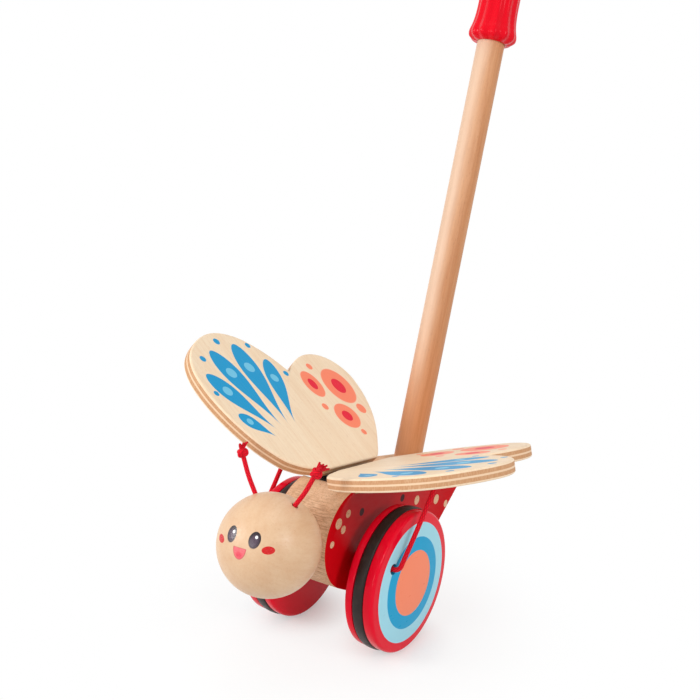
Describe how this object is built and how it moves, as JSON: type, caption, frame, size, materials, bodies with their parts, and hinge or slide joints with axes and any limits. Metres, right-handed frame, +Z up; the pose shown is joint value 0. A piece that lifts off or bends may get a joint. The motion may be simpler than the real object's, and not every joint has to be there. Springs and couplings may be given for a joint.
{
  "type": "toddler push toy",
  "caption": "Wooden push toy on two wheels with a ball head, two hinged plywood wings pulled by cords, and a long leaning push rod with a grip.",
  "frame": {"origin": "on the body block's flat underside, on the middle plane, straight below the axle", "axes": "+Z up, -Y towards the face and the way the toy rolls, +X along the axle, to the right of someone who looks the toy in the face; left and right in the names are that person's"},
  "size_m": [0.2359, 0.3556, 0.479],
  "materials": {
    "body_wood": "clear-lacquered beech, sides painted red",
    "head_wood": "clear-lacquered beech",
    "rod_wood": "smooth beech dowel",
    "spacer_wood": "turned beech washer",
    "wheel_red": "turned wood, gloss red paint",
    "tyre_rubber": "matt black rubber ring",
    "wing_plywood": "plywood sheet, printed on top",
    "hinge_rubber": "flexible black strip",
    "red_cord": "braided cord",
    "tack_steel": "plated tack",
    "grip_red": "gloss red fluted grip"
  },
  "bodies": {
    "toy_body": {"body_block": "body_wood", "head_ball": "head_wood", "head_dowel": "rod_wood", "antenna_left": "red_cord", "antenna_right": "red_cord", "antenna_knot_left": "red_cord", "antenna_knot_right": "red_cord", "axle_spacer_left": "spacer_wood", "axle_spacer_right": "spacer_wood", "push_rod": "rod_wood", "grip": "grip_red", "hinge_strip_left": "hinge_rubber", "hinge_strip_right": "hinge_rubber", "back_tack_left_1": "tack_steel", "back_tack_left_2": "tack_steel", "back_tack_left_3": "tack_steel", "back_tack_right_1": "tack_steel", "back_tack_right_2": "tack_steel", "back_tack_right_3": "tack_steel"},
    "wheelset": {"axle": "rod_wood", "wheel_left": "wheel_red", "wheel_right": "wheel_red", "tyre_left": "tyre_rubber", "tyre_right": "tyre_rubber", "wheel_cord_left": "red_cord", "wheel_cord_right": "red_cord", "wheel_knot_left": "red_cord", "wheel_knot_right": "red_cord"},
    "left_wing": {"wing_left": "wing_plywood", "wing_cord_left": "red_cord", "flap_tack_left_1": "tack_steel", "flap_tack_left_2": "tack_steel", "flap_tack_left_3": "tack_steel"},
    "right_wing": {"wing_right": "wing_plywood", "wing_cord_right": "red_cord", "flap_tack_right_1": "tack_steel", "flap_tack_right_2": "tack_steel", "flap_tack_right_3": "tack_steel"}
  },
  "joints": [
    {"name": "wheels_roll", "type": "hinge", "parent": "toy_body", "child": "wheelset", "pos_m": [0, 0, 0.018], "axis": [1, 0, 0], "continuous": true},
    {"name": "wing_left_flap", "type": "hinge", "parent": "toy_body", "child": "left_wing", "pos_m": [-0.0068, -0.01304, 0.08375], "axis": [0, 0.9781, -0.2079], "range_deg": [-36, 8], "stiffness_Nm_per_rad": 0.6, "springref_deg": 3.78, "deforming": ["hinge_strip_left", "wing_cord_left"]},
    {"name": "wing_right_flap", "type": "hinge", "parent": "toy_body", "child": "right_wing", "pos_m": [0.0068, -0.01304, 0.08375], "axis": [0, -0.9781, 0.2079], "range_deg": [-15.7, 28.3], "stiffness_Nm_per_rad": 0.6, "springref_deg": 4.47, "deforming": ["hinge_strip_right", "wing_cord_right"]}
  ]
}
